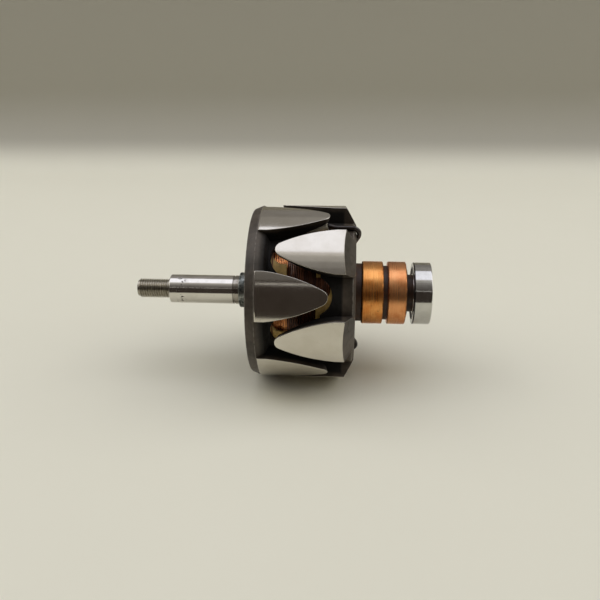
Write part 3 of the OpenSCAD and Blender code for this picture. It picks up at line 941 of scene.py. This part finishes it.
def makeLeads():
    p = leadPiece
    sleeveFinish = makeSoftFinish("creamSleeve", (p["cream"], p["creamDark"]), p["creamDirt"], roughness=0.5,
                                  grain=3500.0, bump=0.4)
    wireFinish = makeWireFinish("leadWire", p["wire"], p["wireDark"], roughness=0.3, metallic=0.2)
    corners = [(radius, x, p["bend"]) for x, radius in p["path"]]
    corners[0] = (*corners[0][:2], 0)
    corners[-1] = (*corners[-1][:2], 0)
    wire = [(x, radius) for radius, x, _ in roundedOutline(corners)]
    start, end = Vector(p["path"][0]), Vector(p["path"][1])
    climb = (end - start).normalized()
    end -= climb * p["sleeveBack"]
    sleeve = [end - climb * p["sleeveLength"], end]
    for name, turn in zip(("inner", "outer"), leadTurns):
        spin = Matrix.Rotation(math.radians(turn), 3, "X")
        for kind, points, radius, finish, slot in (
                ("Lead", wire, p["wireRadius"], wireFinish, "magnet_wire"),
                ("Sleeve", sleeve, p["sleeveRadius"], sleeveFinish, "sleeve")):
            line = bpy.data.meshes.new(name + kind)
            line.from_pydata([spin @ Vector((middleX + x, 0, z)) * mm for x, z in points],
                             [(k, k + 1) for k in range(len(points) - 1)], [])
            tube = nodeMesh(line, tubeOnPath, {"radius": radius * mm, "finish": finish})
            node = f"{name}_ring_lead" if kind == "Lead" else f"{name}_lead_sleeve"
            finishedPiece(f"{name}Ring{kind}", [tube], "rotor", [node])


makeLeads()


# slip rings on their hub

ringPiece = {
    "edge": 0.75, "wall": 3.2, "golden": (0.84, 0.39, 0.12), "goldenDark": (0.64, 0.22, 0.05),
    "pink": (0.80, 0.37, 0.155), "pinkDark": (0.64, 0.23, 0.08), "stain": (0.20, 0.09, 0.035),
}
hubPiece = {
    "edge": 0.35, "noseRadius": 9.6, "nose": 3.0, "noseFoot": 0.3, "noseEdge": 0.2, "spacer": 1,
    "black": (0.020, 0.009, 0.005), "dust": (0.07, 0.028, 0.011), "stain": (0.09, 0.036, 0.012),
}


def makeSlipRings():
    r, h = ringPiece, hubPiece
    hubStart, hubEnd, flange = span("slip_ring_hub")
    innerStart, innerEnd, ringRadius = span("inner_slip_ring")
    outerStart, outerEnd, _ = span("outer_slip_ring")
    seat = ringRadius - r["wall"]
    bore = shaftPiece["journalRadius"]
    for name, node, low, high, colours in (
            ("innerSlipRing", "inner_slip_ring", innerStart, innerEnd, (r["golden"], r["goldenDark"])),
            ("outerSlipRing", "outer_slip_ring", outerStart, outerEnd, (r["pink"], r["pinkDark"]))):
        # the stain colour also darkens the rings' rounded edges, as painted shade
        material = makePlainMetal(name + "Copper", colours, r["stain"], stainAmount=0.27, roughness=0.3,
                                  fineness=2600.0, bump=0.25, drift=30.0, edge=r["stain"])
        corners = ringCorners(seat, ringRadius, low, high, r["edge"])
        turnedPiece(name, corners, "rotor", node, material)
    noseStart, spacer = hubEnd - h["nose"], seat + h["spacer"]
    corners = [
        (bore, hubStart, 0), (flange, hubStart, h["edge"]), (flange, innerStart, h["edge"]),
        (seat, innerStart, 0), (seat, innerEnd, 0), (spacer, innerEnd, 0), (spacer, outerStart, 0),
        (seat, outerStart, 0), (seat, noseStart, h["edge"]), (h["noseRadius"], noseStart, h["noseFoot"]),
        (h["noseRadius"], hubEnd, h["noseEdge"]), (bore, hubEnd, 0)]
    material = makeSoftFinish("hubMoulding", (h["black"], h["dust"]), h["stain"], roughness=0.46,
                              grain=900.0, bump=0.15)
    turnedPiece("slipRingHub", corners, "rotor", "slip_ring_hub", material)


makeSlipRings()


# bearing

bearingPiece = {
    "ringEdge": 0.6, "shoulderEdge": 0.2, "innerEdge": 0.25, "boreEdge": 0.3, "outerWall": 2.4,
    "innerWall": 2.5,
    # the seal's face is dished between two ribs
    "sealGap": 0.06, "sealDish": 0.25, "outerRib": (0.7, 0.9), "innerRib": (1.1, 0.85), "sealEdge": 0.15,
    "dishEdge": 0.12, "lipEdge": 0.2, "steel": (0.62, 0.61, 0.59), "steelDull": (0.52, 0.51, 0.48),
    # the near-black steel colour below is painted shade on the outer ring's face towards the hub
    "stain": (0.35, 0.32, 0.27), "faceShade": (0.05, 0.045, 0.045), "rubber": (0.012, 0.012, 0.014),
    "rubberDust": (0.03, 0.03, 0.03), "rubberStain": (0.045, 0.042, 0.04),
}


def makeBearing():
    b = bearingPiece
    start, end, radius = span("bearing_outer_ring")
    polish = {"colours": (b["steel"], b["steelDull"]), "stain": b["stain"], "stainAmount": 0.22,
              "roughness": 0.09, "fineness": 5000.0, "bump": 0.1, "drift": 30.0}
    steel = makePlainMetal("bearingSteel", **polish)
    # the outer ring's face towards the hub is darkened with painted shade
    shadedFaceSteel = makePlainMetal("bearingOuterSteel", **polish, shadedFace=(start, b["faceShade"]))
    corners = ringCorners(radius - b["outerWall"], radius, start, end, b["ringEdge"], b["shoulderEdge"])
    turnedPiece("bearingOuterRing", corners, "bearing_outer", "bearing_outer_ring",
                shadedFaceSteel)
    bore = shaftPiece["journalRadius"]
    inner = bore + b["innerWall"]
    corners = ringCorners(bore, inner, start, end, b["innerEdge"], b["boreEdge"])
    turnedPiece("bearingInnerRing", corners, "rotor", "bearing_inner_ring", steel)
    rubber = makeSoftFinish("sealRubber", (b["rubber"], b["rubberDust"]), b["rubberStain"], roughness=0.38,
                            grain=2200.0, bump=0.2)
    lip, edge = inner + b["sealGap"], b["sealEdge"]
    for name, outward in (("inner_seal", -1), ("outer_seal", 1)):
        low, high, outer = span(name)
        face, back = (high, low) if outward > 0 else (low, high)
        dish = face - b["sealDish"] * outward
        corners = [
            (lip, back, 0), (outer, back, 0), (outer, face, edge),
            (outer - b["outerRib"][0], face, edge), (outer - b["outerRib"][1], dish, b["dishEdge"]),
            (lip + b["innerRib"][0], dish, edge), (lip + b["innerRib"][1], face, edge),
            (lip, face, b["lipEdge"])]
        turnedPiece(name.replace("_s", "S"), corners, "bearing_outer", name, rubber)
    return steel


bearingSteel = makeBearing()


# nodes that keep their own mesh

carriedPiece = {
    "fibre": (0.82, 0.55, 0.18), "fibreDark": (0.62, 0.40, 0.11), "fibreDirt": (0.12, 0.07, 0.03),
    "soaked": (0.20, 0.075, 0.025), "soakedFrom": 0.5, "soakedPast": 0.1, "core": (0.30, 0.27, 0.24),
    "coreDark": (0.2, 0.18, 0.16), "coreStain": (0.12, 0.07, 0.04), "balls": 9,
}


def dressNodes():
    p = carriedPiece
    soaked = (span("winding_bobbin")[0] + p["soakedFrom"], span("field_winding")[0] + p["soakedPast"],
              p["soaked"])
    fibre = makeSoftFinish("fibreSheet", (p["fibre"], p["fibreDark"]), p["fibreDirt"], roughness=0.55,
                           grain=2600.0, bump=0.3, soaked=soaked)
    core = makePlainMetal("coreSteel", (p["core"], p["coreDark"]), p["coreStain"], stainAmount=0.4,
                          roughness=0.4, fineness=1800.0)
    finishes = {"winding_bobbin": fibre, "field_core": core, "ball_cage": bearingSteel}
    finishes.update({f"ball_{k + 1}": bearingSteel for k in range(p["balls"])})
    for name, material in finishes.items():
        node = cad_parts[name]
        node.data.materials.clear()
        node.data.materials.append(material)


dressNodes()
print("finishes on the carried-over nodes")


# floor, light and camera

floorPiece = {"front": -0.275, "back": 0.39, "bend": 0.08, "wallTop": 0.28, "halfWidth": 2.4, "steps": 14}


def makeFloor():
    p = floorPiece
    path = [(p["front"], 0.0)]
    for k in range(p["steps"] + 1):
        a = math.pi / 2 * k / p["steps"]
        path.append((p["back"] + p["bend"] * math.sin(a), p["bend"] * (1 - math.cos(a))))
    path.append((p["back"] + p["bend"], p["wallTop"]))
    verts = [(side * p["halfWidth"], y, z) for y, z in path for side in (-1, 1)]
    faces = [(2 * k, 2 * k + 1, 2 * k + 3, 2 * k + 2) for k in range(len(path) - 1)]
    mesh = bpy.data.meshes.new("floor")
    mesh.from_pydata(verts, [], faces)
    mesh.materials.append(makeFloorPaper())
    mesh.shade_smooth()
    floor = addObject("paperFloor", mesh)


def addSoftbox(name, where, target, size, radiance, colour):
    light = bpy.data.lights.new(name, "AREA")
    light.shape = "RECTANGLE"
    light.size, light.size_y = size
    light.energy = radiance * size[0] * size[1] * math.pi
    light.color = colour
    obj = addObject(name, light)
    obj.location = where
    obj.rotation_mode = "QUATERNION"
    obj.rotation_quaternion = (Vector(target) - Vector(where)).to_track_quat("-Z", "Y")


cameraPlace = {
    "where": (0.0329, -0.3234, 0.1918), "heading": (-0.0727, 0.9974, 0.0), "pitch": 25.2, "roll": -0.58,
    "lens": 40.71, "sensor": 36.0,
}


def makeCamera():
    p = cameraPlace
    data = bpy.data.cameras.new("camera")
    data.sensor_width = p["sensor"]
    data.lens = p["lens"]
    data.clip_start, data.clip_end = 0.01, 50
    flat = Vector(p["heading"]).normalized()
    pitch, roll = math.radians(p["pitch"]), math.radians(p["roll"])
    forward = flat * math.cos(pitch) - Vector((0, 0, 1)) * math.sin(pitch)
    right0 = forward.cross(Vector((0, 0, 1))).normalized()
    up0 = right0.cross(forward)
    right = right0 * math.cos(roll) + up0 * math.sin(roll)
    up = up0 * math.cos(roll) - right0 * math.sin(roll)
    turn = Matrix((right, up, -forward)).transposed()
    camera = addObject("camera", data)
    camera.matrix_world = Matrix.Translation(p["where"]) @ turn.to_4x4()
    bpy.context.scene.camera = camera


studioArch = {
    "radius": 1.25, "width": 2.4, "aim": (0.0, 0.0, 0.05), "colour": (1.0, 0.98, 0.94),
    # elevations over the camera side where a panel starts and ends, and how bright it is
    "panels": ((31.4, 32.7, 0.95), (37, 46, 0.1), (46, 54, 0.15), (54, 62, 0.24), (62, 70, 0.4),
               (70, 75, 0.65), (114, 136, 0.3), (136, 168, 0.22)),
    "main": (75, 114, 1.34), "mainColour": (0.96, 0.98, 1.08),
    "side": {"where": (1.75, 0.1, 1.25), "size": (1.9, 1.5), "radiance": 1.6},
    "ambient": (0.046, 0.037, 0.031, 1.0),
}


def makeLights():
    a = studioArch
    for k, (low, high, radiance) in enumerate((*a["panels"], a["main"])):
        middle, half = math.radians((low + high) / 2), math.radians((high - low) / 2)
        where = Vector(a["aim"]) + Vector((0, -math.cos(middle), math.sin(middle))) * a["radius"]
        size = (a["width"], 2 * a["radius"] * math.tan(half))
        colour = a["mainColour"] if k == len(a["panels"]) else a["colour"]
        addSoftbox(f"panel{k + 1}", where, a["aim"], size, radiance, colour)
    x, y, z = a["side"]["where"]
    for name, way in (("left", -1), ("right", 1)):  # out of the claws' reflections, they light the floor
        addSoftbox(name, (way * x, y, z), a["aim"], a["side"]["size"], a["side"]["radiance"], a["colour"])


makeFloor()
makeLights()
world = bpy.data.worlds.new("studio")
world.use_nodes = True
world.node_tree.nodes["Background"].inputs["Color"].default_value = studioArch["ambient"]
bpy.context.scene.world = world
bpy.context.scene.view_settings.view_transform = "Standard"
makeCamera()
print("floor, light and camera ready")
